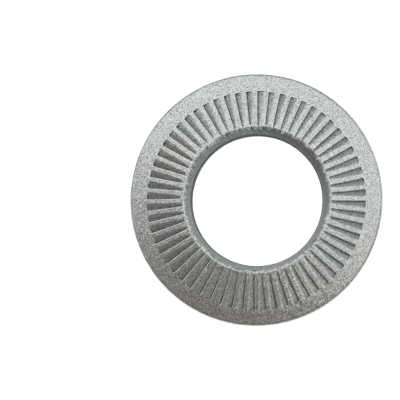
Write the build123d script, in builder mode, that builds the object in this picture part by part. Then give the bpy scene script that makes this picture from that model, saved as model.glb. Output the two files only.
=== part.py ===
"""Serrated conical contact washer for an M8 bolt, one piece of zinc-plated spring steel.

The washer lies on its outer heel, hollow side down, with the serrated crown up and the
bolt axis on Z. Sizes are millimetres and degrees.
"""
import os
from math import cos, radians, tan

from build123d import *

# Driving sizes: the sheet and its outline
outer_diameter = 16.0       # over the rim's upper edge
bore_diameter = 8.25        # smallest diameter of the punched hole
sheet_thickness = 1.42      # spring steel with its zinc coat, square to the sheet
rim_draft = 2.7             # the rim leans outwards by this towards the crown
rim_round = 0.18            # tumbled corner, crown side and heel side
ring_width = 1.06           # plain ring between the serrations and the rim

# Driving sizes: how far the sheet is coned
track_slope = 7.3           # serrated track, falling outwards
ring_slope_inner = 9.0      # plain ring where it leaves the track
ring_slope_outer = 12.0     # plain ring at the rim, which turns down a little further

# Driving sizes: the punched hole, from the hollow side up
entry_round = 0.08          # edge that the punch drew in
shear_height = 0.45         # upright, burnished part of the wall
lean_height = 0.50          # sheared part that leans back with the coned sheet
lean_angle = 14.0
tear_width = 0.40           # the torn mouth opens by this on each side, up to the lip
lip_round = 0.10

# Driving sizes: the serrations, narrow wedges with one steep wall, coined into the crown
serration_count = 60
serration_phase = 0.25      # turn of the first one from the X axis
lip_gap = 0.10              # from the lip to the serrations' inner ends
notch_width_outer = 0.38
notch_width_inner = 0.09
notch_slope = 17.0          # ramp that climbs clockwise out of the valley
wall_draft = 10.0           # steep wall, measured from upright
steep_wall_offset = 0.10    # its top edge runs this far clockwise of a radial line
cutter_headroom = 0.10      # how far a cutter stands out of the surface

outer_radius = outer_diameter / 2
bore_radius = bore_diameter / 2
tear_radius = bore_radius + lean_height * tan(radians(lean_angle))
lip_radius = tear_radius + tear_width
serration_radius = lip_radius + lip_gap
track_radius = outer_radius - ring_width
ring_slope = (ring_slope_inner + ring_slope_outer) / 2

# Section with sharp corners: the heel corner is at height 0 until the corners are rounded
rim_height = sheet_thickness / cos(radians(ring_slope))
heel_corner = (outer_radius - rim_height * tan(radians(rim_draft)), 0)
crown_corner = (outer_radius, rim_height)
ring_rise = (outer_radius - track_radius) * tan(radians(ring_slope))
track_edge = (track_radius, rim_height + ring_rise)
lip_height = track_edge[1] + (track_radius - lip_radius) * tan(radians(track_slope))
lip_corner = (lip_radius, lip_height)
hollow_edge = (track_radius, (heel_corner[0] - track_radius) * tan(radians(ring_slope)))
entry_height = hollow_edge[1] + (track_radius - bore_radius) * tan(radians(track_slope))
entry_corner = (bore_radius, entry_height)
shear_top = (bore_radius, entry_height + shear_height)
tear_edge = (tear_radius, entry_height + shear_height + lean_height)

with BuildSketch() as section:
    with BuildLine():
        Line(lip_corner, track_edge)
        ring_start = (1, -tan(radians(ring_slope_inner)))
        TangentArc(track_edge, crown_corner, tangent=ring_start)
        Polyline(crown_corner, heel_corner, hollow_edge, entry_corner, shear_top, tear_edge, lip_corner)
    make_face()
    rim_corners = section.vertices().sort_by(Axis.X)[-2:]
    fillet(rim_corners, radius=rim_round)
    lip = section.vertices().sort_by(Axis.Y)[-1]
    fillet(lip, radius=lip_round)
    entry = section.vertices().group_by(Axis.X)[0].sort_by(Axis.Y)[0]
    fillet(entry, radius=entry_round)

# The rounded heel is the lowest line of the section, and it stands on Z = 0
settle = -section.sketch.bounding_box().min.Y
section_plane = Plane(origin=(0, 0, settle), x_dir=(1, 0, 0), z_dir=(0, -1, 0))


def track_height(radius):
    """Height of the serrated track's surface at a radius."""
    return settle + track_edge[1] + (track_radius - radius) * tan(radians(track_slope))


def notch_plane(radius):
    """Upright plane across a notch: its X runs clockwise round the washer, its Y up."""
    return Plane(origin=(radius, 0, track_height(radius)), x_dir=(0, -1, 0), z_dir=(-1, 0, 0))


def notch_profile(width):
    """Corners of one notch: steep wall down to the valley, then the ramp up to the next land."""
    lean = tan(radians(wall_draft))
    ramp = 1 / tan(radians(notch_slope))
    depth = width / (lean + ramp)
    left = steep_wall_offset - cutter_headroom * lean
    valley = steep_wall_offset + depth * lean
    right = steep_wall_offset + width + cutter_headroom * ramp
    return [(left, cutter_headroom), (valley, -depth), (right, cutter_headroom)]


# One serration as the tool that coins it: a wedge, wide and deep at the track's outer edge
with BuildPart() as serration:
    with BuildSketch(notch_plane(track_radius)):
        with BuildLine():
            Polyline(*notch_profile(notch_width_outer), close=True)
        make_face()
    with BuildSketch(notch_plane(serration_radius)):
        with BuildLine():
            Polyline(*notch_profile(notch_width_inner), close=True)
        make_face()
    loft()

# The washer: the section turned round the bolt axis, and the ring of serrations in its crown
with BuildPart() as washer:
    with BuildSketch(section_plane):
        add(section.sketch)
    revolve(axis=Axis.Z)
    with PolarLocations(0, serration_count, start_angle=serration_phase):
        add(serration.part, mode=Mode.SUBTRACT)

washer.part.label = "washer"
os.makedirs("parts", exist_ok=True)
export_step(washer.part, "parts/washer.step")
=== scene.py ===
import random
from math import asin, atan2, cos, hypot, pi, radians, sin, tan

import bmesh
import bpy
from mathutils import Matrix, Vector, noise


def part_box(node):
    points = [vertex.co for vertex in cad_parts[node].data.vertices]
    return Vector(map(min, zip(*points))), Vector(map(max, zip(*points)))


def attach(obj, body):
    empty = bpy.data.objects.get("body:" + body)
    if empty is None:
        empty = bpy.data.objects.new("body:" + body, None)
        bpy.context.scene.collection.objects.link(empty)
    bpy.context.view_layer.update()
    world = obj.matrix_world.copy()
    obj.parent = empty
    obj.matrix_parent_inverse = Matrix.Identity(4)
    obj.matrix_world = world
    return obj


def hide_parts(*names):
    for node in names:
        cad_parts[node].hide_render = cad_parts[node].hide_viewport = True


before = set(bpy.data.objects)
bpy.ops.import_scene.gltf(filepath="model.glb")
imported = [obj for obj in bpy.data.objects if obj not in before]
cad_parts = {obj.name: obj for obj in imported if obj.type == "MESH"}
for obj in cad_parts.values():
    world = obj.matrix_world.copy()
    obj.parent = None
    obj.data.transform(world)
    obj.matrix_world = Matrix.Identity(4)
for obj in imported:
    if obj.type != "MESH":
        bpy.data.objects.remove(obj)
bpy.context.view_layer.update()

# Contact washer. A ring punched from 1.4 mm spring steel, coned so that its crown springs
# against the bolt head, with sixty ratchet serrations coined round the hole. It is turned
# from its section here in millimetres, then the serrations and the wear are pressed in.
MM = 0.001
outer_radius = 8.0
bore_radius = 4.135
sheet = 1.42
rim_draft = radians(2.7)         # the rim leans outwards by this towards the crown
rim_round = 0.14                 # tumbled corner, crown side and heel side
ring_width = 1.06                # plain ring between the serrations and the rim
crown_slope = radians(8.4)
crown_bulge = 0.0155             # the crown stands out of its cone by this, halfway across
hollow_slope = radians(7.3)
heel_slope = radians(10.5)       # the hollow side turns down further near the heel
end_wall = 0.045                 # the serrations' outer ends slope in over this width
entry_round = 0.08               # edge that the punch drew in
shear_height = 0.45              # upright, burnished part of the hole's wall
shear_round = 0.3
lean_height = 0.50               # sheared part that leans back with the coned sheet
lean_angle = radians(8.0)
tear_width = 0.385               # the torn mouth opens by this on each side, up to the lip
lip_round = 0.10

# Corners of the section, as a radius and a height over the heel
tear_radius = bore_radius + lean_height * tan(lean_angle)
lip_radius = tear_radius + tear_width
track_radius = outer_radius - ring_width
rim_height = sheet / cos(heel_slope)
heel = (outer_radius - rim_height * tan(rim_draft), 0.0)
rim_edge = (outer_radius, rim_height)
track_edge = (track_radius, rim_height + ring_width * tan(crown_slope))
track_foot = (track_radius - end_wall, track_edge[1] + end_wall * tan(crown_slope))
lip = (lip_radius, rim_height + (outer_radius - lip_radius) * tan(crown_slope))
hollow_edge = (track_radius, (heel[0] - track_radius) * tan(heel_slope))
entry = (bore_radius, hollow_edge[1] + (track_radius - bore_radius) * tan(hollow_slope))
shear_top = (bore_radius, entry[1] + shear_height)
tear_edge = (tear_radius, shear_top[1] + lean_height)
outline = [heel, rim_edge, track_edge, track_foot, lip, tear_edge, shear_top, entry, hollow_edge]
rounded = {
    heel: (rim_round, 6),
    rim_edge: (rim_round, 6),
    lip: (lip_round, 4),
    shear_top: (shear_round, 2),
    entry: (entry_round, 5),
}


def round_corner(mesh, corner, radius, segments):
    """Rounds one corner of the section to a radius."""
    one, two = [edge.other_vert(corner).co - corner.co for edge in corner.link_edges]
    reach = radius / tan(one.angle(two) / 2)
    bmesh.ops.bevel(
        mesh, geom=[corner], offset=reach, segments=segments,
        profile=0.5, affect="VERTICES", material=-1,
    )


washer = bmesh.new()
corners = [washer.verts.new((radius, 0, height)) for radius, height in outline]
washer.faces.new(corners)
for corner, point in zip(corners, outline):
    if point in rounded:
        round_corner(washer, corner, *rounded[point])
bmesh.ops.delete(washer, geom=washer.faces[:], context="FACES_ONLY")

# Even spacing along the section: fine where the tool marks show, coarser in the hollow side
crown_step = 0.080
hollow_step = 0.24
for edge in washer.edges[:]:
    within_heel = edge.verts[0].co.x < heel[0] - 0.1
    under_sheet = max(vert.co.z for vert in edge.verts) < entry[1] + 0.01
    step = hollow_step if within_heel and under_sheet else crown_step
    cuts = int(edge.calc_length() / step)
    if cuts:
        bmesh.ops.subdivide_edges(washer, edges=[edge], cuts=cuts)

# The crown bulges a little between the lip and the rim, and the heel stands on the solid's floor
for vert in washer.verts:
    across = (2 * vert.co.x - outer_radius - lip_radius) / (outer_radius - lip_radius)
    if abs(across) < 1 and vert.co.z > rim_height - 0.05:
        vert.co.z += crown_bulge * (1 - across ** 2)
solid_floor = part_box("washer")[0].z / MM
settle = solid_floor - min(vert.co.z for vert in washer.verts)
bmesh.ops.translate(washer, vec=(0, 0, settle), verts=washer.verts[:])
# Heights of those corners as the washer lies
rim_top, lip_top, tear_foot, lean_foot, entry_edge = [
    settle + height for _, height in (rim_edge, lip, tear_edge, shear_top, entry)
]

# Turned through one serration's pitch in fourteen columns, so that its crest, steep wall, ramp
# and land each get their own, and then repeated sixty times and joined into one ring
serrations = 60
columns = 14
pitch = 2 * pi / serrations
phase = radians(0.25)
join_reach = 0.001               # more than the rounding of the sixty turns, less than any edge
turned_by = Matrix.Rotation(phase, 3, "Z")
bmesh.ops.rotate(washer, cent=(0, 0, 0), matrix=turned_by, verts=washer.verts[:])
bmesh.ops.spin(
    washer, geom=washer.verts[:] + washer.edges[:], cent=(0, 0, 0), axis=(0, 0, 1),
    angle=pitch, steps=columns, use_duplicate=False,
)
one_pitch = washer.verts[:] + washer.edges[:] + washer.faces[:]
bmesh.ops.spin(
    washer, geom=one_pitch, cent=(0, 0, 0), axis=(0, 0, 1),
    angle=2 * pi - pitch, steps=serrations - 1, use_duplicate=True,
)
bmesh.ops.remove_doubles(washer, verts=washer.verts[:], dist=join_reach)
bmesh.ops.recalc_face_normals(washer, faces=washer.faces[:])

# Serrations: each is a wedge with one steep wall and a hollow ramp that climbs clockwise
lip_gap = 0.14                   # from the lip to the serrations' inner ends
width_outer = 0.462
width_inner = 0.135
width_growth = 0.62              # power of the widening: under 1, it is faster near the hole
ramp_hollow_inner = 1.34         # power of the ramp's curve: 1 is straight
ramp_hollow_outer = 1.06
notch_slope = radians(21.0)      # ramp that climbs clockwise out of the valley
wall_lean = tan(radians(17.0))   # the steep wall, measured from upright
steep_wall_offset = 0.114        # its top edge runs this far clockwise of a radial line
crest_width = 0.034              # narrow facet worn along the top of the steep wall
crest_slope = radians(17.0)
crest_guard = 0.014              # flat strip that keeps the shading of the facet narrow
wall_wobble = 0.005              # how much the steep wall wanders
ramp_ripple = 0.012              # how much the width varies along a ramp
run_out = 0.12                   # the depth comes in over this length at the inner end
ramp_shares = (0, 0.08, 0.20, 0.34, 0.50, 0.66, 0.83, 1)
land_shares = (0.25, 0.50, 0.75)
crest_column = 2
foot_column = 3
top_column = 10
gather_inner = 0.22              # the columns draw together over these lengths at the two ends
gather_outer = 0.34
serration_radius = lip_radius + lip_gap
chance = random.Random(8)
cuts_made = [
    {
        "depth": chance.uniform(0.94, 1.07),
        "width": chance.uniform(0.95, 1.05),
        "inner": chance.uniform(-0.05, 0.09),
        "outer": chance.uniform(-0.03, 0.0),
    }
    for _ in range(serrations)
]
# Three marks on the finish, each partly painted light: less peened and so duller, with painted shade in
# the valleys and on one side of the hole's wall; burnished bright, with a painted highlight; and sheared
# by the punch, with painted shade on the hole's wall
dull_and_shade_power = 1.8
dull_and_shade_inner = 1.28
dull_and_shade_outer = 0.66
dulled_and_shaded = washer.verts.layers.float.new("dulled_and_shaded")
worn_and_highlit = washer.verts.layers.float.new("worn_and_highlit")
punched_and_shaded = washer.verts.layers.float.new("punched_and_shaded")


def crown_height(radius):
    """Height of the crown's cone at a radius, before the serrations are pressed in."""
    return rim_top + (outer_radius - radius) * tan(crown_slope)


def ease(value, start, end):
    """0 before start, 1 after end, and smooth between them."""
    share = min(max((value - start) / (end - start), 0.0), 1.0)
    return share * share * (3 - 2 * share)


def between(start, end, share):
    """A value that goes from start to end as share goes from 0 to 1."""
    return start + (end - start) * share


for vert in washer.verts:
    radius = hypot(vert.co.x, vert.co.y)
    on_crown = vert.co.z >= crown_height(radius) - sheet / 2
    on_track = lip_radius - 0.25 <= radius <= track_radius + 0.4
    if not (on_crown and on_track):
        continue
    # Clockwise turn from the first serration's radial line, split into its pitch and its column
    turn = (pi / 2 + phase - atan2(vert.co.y, vert.co.x)) % (2 * pi)
    number = int(turn / pitch + 0.5 / columns) % serrations
    column = round((turn - number * pitch) / pitch * columns) % columns
    cut = cuts_made[number]
    wobble = noise.noise(Vector((radius * 2.6, number * 7.3, 0)))
    ripple = noise.noise(Vector((radius * 5.5, number * 5.1, 9)))
    along = min(max((radius - serration_radius) / (track_radius - serration_radius), 0.0), 1.0)
    width = between(width_inner, width_outer, along ** width_growth) * cut["width"]
    width += ramp_ripple * ripple * along
    depth = width / (wall_lean + 1 / tan(notch_slope)) * cut["depth"]
    # Distances of the fourteen columns from the radial line
    steep = steep_wall_offset + wall_wobble * (wobble + (1 - along) ** 2)
    foot = steep + depth * wall_lean
    top = steep + width
    places = [steep - crest_width - crest_guard, steep - crest_width, steep]
    places += [between(foot, top, share) for share in ramp_shares]
    places += [between(top, pitch * radius, share) for share in land_shares]
    # The columns follow the serrations along the track, and run evenly beyond their two ends
    gathered = ease(radius, lip_radius - gather_inner, lip_radius)
    beyond = track_radius + 0.02
    gathered *= 1 - ease(radius, beyond, beyond + gather_outer)
    even = column / columns * pitch
    angle = between(even, asin(places[column] / radius), gathered)
    # The depth fades in at the hole's side of the wedge and stops at its outer end wall
    start = serration_radius - run_out / 2 + cut["inner"]
    fade = ease(radius, start, start + run_out) if radius < track_radius - end_wall / 2 else 0.0
    sink = 0.0
    if foot_column <= column < top_column:
        curve = between(ramp_hollow_inner, ramp_hollow_outer, along)
        sink = depth * ((top - places[column]) / (top - foot)) ** curve
    elif column == crest_column:
        sink = crest_width * tan(crest_slope)
    if crest_column <= column <= top_column and radius <= track_radius + 0.2:
        radius += cut["outer"] * ease(radius, track_radius - 0.16, track_radius - 0.03)
    direction = pi / 2 + phase - number * pitch - angle
    vert.co.x = radius * cos(direction)
    vert.co.y = radius * sin(direction)
    vert.co.z -= sink * fade
    # Tumbling beads reach the deep parts less, most of all where the wedge is narrow; the darkening there
    # is partly that duller zinc and partly painted shade in the valleys
    deepness = sink / max(depth, 0.01)
    vert[dulled_and_shaded] = fade * deepness ** dull_and_shade_power * between(dull_and_shade_inner, dull_and_shade_outer, along)
    # The crest facet is worn bright, and lighter still as a painted highlight
    if column == crest_column and lip_radius < radius < track_radius:
        vert[worn_and_highlit] = 1.0

# Tumbling and punching marks: a gentle unevenness all over, and a torn lip, ragged and burnished, lighter
# still as a painted highlight
unevenness = ((0.0035, 3.1, 0), (0.002, 8.7, 0))
streaks = ((0.0022, 4.0, 0), (0.0014, 9.0, 0))
raggedness = ((0.050, 3.7, 5), (0.095, 8.5, 2))
worn_and_highlit_lip = ((2.2, 6.3, 0),)
lip_wear_and_highlight = 0.65
shaded_wall_side = radians(62)
wall_shade_strength = 0.48


def bumps(point, waves):
    """Smooth noise at a point: each wave has its height, its rate per mm and its layer."""
    return sum(height * noise.noise(point * rate + Vector((0, 0, layer))) for height, rate, layer in waves)


washer.normal_update()
for vert in washer.verts:
    radius = hypot(vert.co.x, vert.co.y)
    height = vert.co.z
    turn = atan2(vert.co.y, vert.co.x)
    push = bumps(vert.co, unevenness)
    # The hole's wall is marked as punched, and its darker grey is partly painted shade
    if radius < lip_radius - 0.03 and height > entry_edge + 0.02:
        at_tear = ease(height, tear_foot - 0.06, tear_foot + 0.02)
        at_lip = ease(height, lip_top - 0.2, lip_top - 0.06)
        vert[punched_and_shaded] = 1.0 - 0.6 * at_tear - 0.4 * at_lip
        # Painted shade: the hole's wall is darker on its upper right side, the side that faces away from
        # the lamps
        away_from_light = max(cos(turn - shaded_wall_side), 0.0) ** 2
        vert[dulled_and_shaded] = wall_shade_strength * away_from_light * (1 - ease(height, lip_top - 0.12, lip_top - 0.02))
    vert.co += vert.normal * push
    # The lip is worn bright, and lighter still as a painted highlight
    if abs(radius - lip_radius + 0.02) < 0.05 and height > lip_top - 0.12:
        vert[worn_and_highlit] = min(max(lip_wear_and_highlight + bumps(vert.co, worn_and_highlit_lip), 0.0), 1.0)
    if radius < lip_radius + 0.12 and height > lean_foot:
        torn = ease(height, lip_top - 0.16, lip_top - 0.03)
        outwards = Vector((cos(turn), sin(turn), 0))
        arc = outwards * lip_radius
        tear = bumps(arc, streaks) + bumps(arc, raggedness) * torn
        vert.co += outwards * tear * (1 - ease(radius, lip_radius, lip_radius + 0.12))

# The hole and the serrations are struck a little off the middle of the blank, and the mouth
# tore wider on the side that the punch leaned to
hole_strike = Vector((0.049, -0.053, 0))
track_strike = Vector((0.028, -0.064, 0))
torn_side = radians(27)
torn_wider = 0.115
for vert in washer.verts:
    radius = hypot(vert.co.x, vert.co.y)
    turn = atan2(vert.co.y, vert.co.x)
    mouth = ease(vert.co.z, tear_foot, lip_top - 0.02)
    mouth *= 1 - ease(radius, lip_radius, lip_radius + 0.3)
    wider = torn_wider * max(cos(turn - torn_side), 0.0) ** 3 * mouth
    vert.co += Vector((cos(turn), sin(turn), -tan(crown_slope))) * wider
    strike = hole_strike.lerp(track_strike, ease(radius, lip_radius, lip_radius + 0.9))
    vert.co += strike * (1 - ease(radius, track_radius + 0.05, track_radius + 0.8))

# Small nicks that the rim got from other washers in the tumbling drum
nicks = 46
rim = [vert for vert in washer.verts if hypot(vert.co.x, vert.co.y) > track_radius + 0.3]
for _ in range(nicks):
    turn = chance.uniform(0, 2 * pi)
    height = chance.choice((rim_top - 0.03, settle + 0.06, chance.uniform(0.1, 1.3)))
    spot = Vector((outer_radius * cos(turn), outer_radius * sin(turn), height))
    reach = chance.uniform(0.07, 0.16)
    bite = chance.uniform(0.012, 0.034)
    inwards = -spot.normalized() if height > 1 else Vector((-cos(turn), -sin(turn), 0))
    for vert in rim:
        far = (vert.co - spot).length
        if far < reach:
            vert.co += inwards * bite * (1 - (far / reach) ** 2) ** 2

bmesh.ops.scale(washer, vec=(MM, MM, MM), verts=washer.verts[:])
washer_mesh = bpy.data.meshes.new("washer_skin")
washer.to_mesh(washer_mesh)
washer.free()
washer_mesh.shade_smooth()
washer_mesh.set_sharp_from_angle(angle=radians(24))
washer_skin = bpy.data.objects.new("washer_skin", washer_mesh)
bpy.context.scene.collection.objects.link(washer_skin)


def linear(hex_colour):
    """An sRGB hex colour as linear RGBA."""
    channels = [int(hex_colour[i:i + 2], 16) / 255 for i in (1, 3, 5)]
    return [c / 12.92 if c <= 0.04045 else ((c + 0.055) / 1.055) ** 2.4 for c in channels] + [1.0]


def node(tree, kind, links=None, values=None, **properties):
    """Adds a node with its own properties, the values of its inputs, and the links into them."""
    made = tree.nodes.new(kind)
    for name, value in properties.items():
        setattr(made, name, value)
    for name, value in (values or {}).items():
        made.inputs[name].default_value = value
    for name, source in (links or {}).items():
        tree.links.new(source, made.inputs[name])
    return made


# Mechanically zinc-plated steel: zinc powder peened on with glass beads, so it is a matt light
# grey with a fine grain of flattened flakes and tiny dimples, and no brushed lines. The real
# flakes are about 0.01 mm across, and are drawn three times as coarse so that they show.
flake_mm = 0.030
dimple_mm = 0.080
flake_tilt = 0.15
dimple_tilt = 0.08
zinc = bpy.data.materials.new("mechanically_zinc_plated_spring_steel")
zinc.use_nodes = True
tree = zinc.node_tree
tree.nodes.clear()
on_piece = node(tree, "ShaderNodeTexCoord").outputs["Object"]
flakes = node(tree, "ShaderNodeTexVoronoi", {"Vector": on_piece}, {"Scale": 1 / (flake_mm * MM)})
dimples = node(tree, "ShaderNodeTexVoronoi", {"Vector": on_piece}, {"Scale": 1 / (dimple_mm * MM)})
punched_and_shaded_mark = node(tree, "ShaderNodeAttribute", attribute_name="punched_and_shaded").outputs["Fac"]
worn_and_highlit_mark = node(tree, "ShaderNodeAttribute", attribute_name="worn_and_highlit").outputs["Fac"]
dull_and_shade_mark = node(tree, "ShaderNodeAttribute", attribute_name="dulled_and_shaded").outputs["Fac"]

# Each flake has its own grey, a few of them dark, and each dimple is dark in its middle
flake = node(tree, "ShaderNodeSeparateColor", {"Color": flakes.outputs["Color"]})
flake_grey = node(tree, "ShaderNodeValToRGB", {"Fac": flake.outputs["Red"]})
stops = flake_grey.color_ramp.elements
stops[0].position, stops[0].color = 0.18, linear("#6C6F6D")
stops[1].position, stops[1].color = 0.31, linear("#C6CAC8")
stops.new(1.0).color = linear("#D6DAD7")
dimple_grey = node(tree, "ShaderNodeValToRGB", {"Fac": dimples.outputs["Distance"]})
stops = dimple_grey.color_ramp.elements
stops[0].position, stops[0].color = 0.10, (0.52, 0.52, 0.52, 1)
stops[1].position, stops[1].color = 0.34, (1.06, 1.06, 1.06, 1)
stops.new(0.65).color = (0.97, 0.97, 0.97, 1)
peened = node(
    tree, "ShaderNodeVectorMath", {0: flake_grey.outputs["Color"], 1: dimple_grey.outputs["Color"]},
    operation="MULTIPLY",
)

# The punched wall is a plainer, bluer grey, darker partly as painted shade, and the crests and the lip are
# worn bright, partly as a painted highlight
# A mix node has its factor, its two colours and its result in these sockets
mix_factor, mix_first, mix_second, mix_result = 0, 6, 7, 2
with_shaded_wall = node(
    tree, "ShaderNodeMix", {mix_factor: punched_and_shaded_mark, mix_first: peened.outputs["Vector"]},
    {mix_second: linear("#797F83")}, data_type="RGBA",
)
with_worn_highlights = node(
    tree, "ShaderNodeMix", {mix_factor: worn_and_highlit_mark, mix_first: with_shaded_wall.outputs[mix_result]},
    {mix_second: linear("#F2F4F3")}, data_type="RGBA",
)

# The dulled parts, and the painted shade in the valleys and on the hole's wall, are darker, in blotches
# the size of a dimple
dimple = node(tree, "ShaderNodeSeparateColor", {"Color": dimples.outputs["Color"]})
blotch = node(
    tree, "ShaderNodeMapRange", {"Value": dimple.outputs["Red"]}, {"To Min": 0.5, "To Max": 1.5},
)
dull_and_shade = node(tree, "ShaderNodeMath", {0: dull_and_shade_mark, 1: blotch.outputs["Result"]}, operation="MULTIPLY")
shade = node(
    tree, "ShaderNodeMapRange", {"Value": dull_and_shade.outputs["Value"]}, {"To Min": 1.0, "To Max": 0.60},
    clamp=False,
)
coat = node(
    tree, "ShaderNodeVectorMath",
    {"Vector": with_worn_highlights.outputs[mix_result], "Scale": shade.outputs["Result"]}, operation="SCALE",
)

# Roughness: low for each tilted flake, higher where the punch sheared or wear smoothed them
wall_rough = node(tree, "ShaderNodeMapRange", {"Value": punched_and_shaded_mark}, {"To Min": 0.26, "To Max": 0.60})
crest_rough = node(tree, "ShaderNodeMath", {0: worn_and_highlit_mark}, {1: 0.5}, operation="MULTIPLY")
rough = node(
    tree, "ShaderNodeMath", {0: wall_rough.outputs["Result"], 1: crest_rough.outputs["Value"]},
    operation="MAXIMUM",
)

# Each flake and each dimple leans its own way, so the matt grain comes from many small mirrors
normal = node(tree, "ShaderNodeNewGeometry").outputs["Normal"]
leaning = node(
    tree, "ShaderNodeVectorMath", {0: flakes.outputs["Color"], 2: normal},
    {1: (flake_tilt,) * 3}, operation="MULTIPLY_ADD",
)
dented = node(
    tree, "ShaderNodeVectorMath", {0: dimples.outputs["Color"], 2: leaning.outputs["Vector"]},
    {1: (dimple_tilt,) * 3}, operation="MULTIPLY_ADD",
)
centred = node(
    tree, "ShaderNodeVectorMath", {0: dented.outputs["Vector"]},
    {1: ((flake_tilt + dimple_tilt) / 2,) * 3}, operation="SUBTRACT",
)
facet = node(tree, "ShaderNodeVectorMath", {0: centred.outputs["Vector"]}, operation="NORMALIZE")
steel = node(
    tree, "ShaderNodeBsdfPrincipled",
    {
        "Base Color": coat.outputs["Vector"],
        "Normal": facet.outputs["Vector"],
        "Roughness": rough.outputs["Value"],
    },
    {"Metallic": 1.0, "Specular Tint": linear("#868686")},
)
node(tree, "ShaderNodeOutputMaterial", {"Surface": steel.outputs["BSDF"]})
washer_mesh.materials.append(zinc)

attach(washer_skin, "root")
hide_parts("washer")

# Floor: a matt white sheet of opal acrylic, lit a little from below so that it stays white
# round the washer and in its hole. It only carries the washer for the picture.
floor_reach = 1.2
floor_glow = 0.76
sheet_of_opal = bmesh.new()
bmesh.ops.create_grid(sheet_of_opal, x_segments=1, y_segments=1, size=floor_reach)
floor_mesh = bpy.data.meshes.new("floor")
sheet_of_opal.to_mesh(floor_mesh)
sheet_of_opal.free()
floor = bpy.data.objects.new("floor", floor_mesh)
bpy.context.scene.collection.objects.link(floor)
opal = bpy.data.materials.new("opal_acrylic_sheet")
opal.use_nodes = True
opal.node_tree.nodes.clear()
glowing = node(
    opal.node_tree, "ShaderNodeBsdfPrincipled", values={
        "Base Color": linear("#E8E8E8"),
        "Roughness": 0.7,
        "Emission Color": linear("#FFFFFF"),
        "Emission Strength": floor_glow,
    },
)
node(opal.node_tree, "ShaderNodeOutputMaterial", {"Surface": glowing.outputs["BSDF"]})
floor_mesh.materials.append(opal)

# Studio room: pale grey walls, lightest at the back, and darker and a little warmer between
# overhead and the front, which is the part that the washer's lower edge mirrors
back_of_room = (0.08, 0.90, -0.43)
room = bpy.data.worlds.new("studio")
bpy.context.scene.world = room
room.use_nodes = True
walls = room.node_tree
looked_along = node(walls, "ShaderNodeTexCoord").outputs["Generated"]
to_the_back = node(
    walls, "ShaderNodeVectorMath", {0: looked_along}, {1: back_of_room}, operation="DOT_PRODUCT",
)
front_to_back = node(
    walls, "ShaderNodeMapRange", {"Value": to_the_back.outputs["Value"]},
    {"From Min": -1.0, "From Max": 1.0},
)
wall_grey = node(walls, "ShaderNodeValToRGB", {"Fac": front_to_back.outputs["Result"]})
stops = wall_grey.color_ramp.elements
stops[0].position, stops[0].color = 0.03, linear("#959696")
stops[1].position, stops[1].color = 0.60, linear("#B6B9BA")
stops.new(0.005).color = linear("#5A5B5B")
stops.new(0.11).color = linear("#939190")
stops.new(0.18).color = linear("#8F7F77")
stops.new(0.25).color = linear("#928D8B")
stops.new(0.40).color = linear("#B1B3B3")
walls.links.new(wall_grey.outputs["Color"], walls.nodes["Background"].inputs["Color"])

# Studio lamps: one large soft box nearly overhead, and three small ones that fill the left,
# the lower right and the far right
box_distance = 0.60


def facing(direction):
    """Turn of a lamp or camera that looks back along a direction, with +Y kept at the top."""
    across = Vector((0, 1, 0)).cross(direction).normalized()
    return Matrix((across, direction.cross(across), direction)).transposed()


def leaning_direction(right, up):
    """Direction that leans from upright by these degrees towards +X and +Y."""
    return Vector((tan(radians(right)), tan(radians(up)), 1)).normalized()


def soft_box(name, lean, size, radiance, roll=0.0):
    """A rectangular area light over the washer, whose front has the given radiance."""
    lamp = bpy.data.lights.new(name, "AREA")
    lamp.shape = "RECTANGLE"
    lamp.size, lamp.size_y = size
    lamp.energy = 4 * radiance * lamp.size * lamp.size_y
    holder = bpy.data.objects.new(name, lamp)
    bpy.context.scene.collection.objects.link(holder)
    direction = leaning_direction(*lean)
    holder.location = direction * box_distance
    rolled = Matrix.Rotation(radians(roll), 3, "Z")
    holder.rotation_euler = (facing(direction) @ rolled).to_euler()


soft_box("main_box", lean=(4.5, 14.2), size=(0.81, 0.445), radiance=0.62, roll=-31)
soft_box("left_box", lean=(-42, 11), size=(0.20, 0.41), radiance=0.48)
soft_box("low_box", lean=(36.5, -27.5), size=(0.26, 0.40), radiance=0.15)
soft_box("right_box", lean=(68, 49), size=(0.16, 0.40), radiance=0.60)

# Camera: nearly straight above, a little to the right of the bolt axis and below it. The
# washer's middle and its width are placed in the picture in pixels.
picture = 400
middle_x, middle_y = 256.0, 199.7
washer_pixels = 253.0
camera_distance = 0.165
camera_lean = (4.0, -4.8)
sensor = 36
camera_data = bpy.data.cameras.new("camera")
camera = bpy.data.objects.new("camera", camera_data)
bpy.context.scene.collection.objects.link(camera)
bpy.context.scene.camera = camera
target = Vector((0, 0, rim_height * MM))
camera.location = target + leaning_direction(*camera_lean) * camera_distance
view_width = 2 * outer_radius * MM * picture / washer_pixels
camera_data.sensor_width = sensor
camera_data.lens = sensor * camera_distance / view_width
camera_data.clip_start = 0.005
per_pixel = view_width / picture
aim = target + Vector((picture / 2 - middle_x, middle_y - picture / 2, 0)) * per_pixel
camera.rotation_euler = facing((camera.location - aim).normalized()).to_euler()
bpy.context.scene.view_settings.view_transform = "Standard"
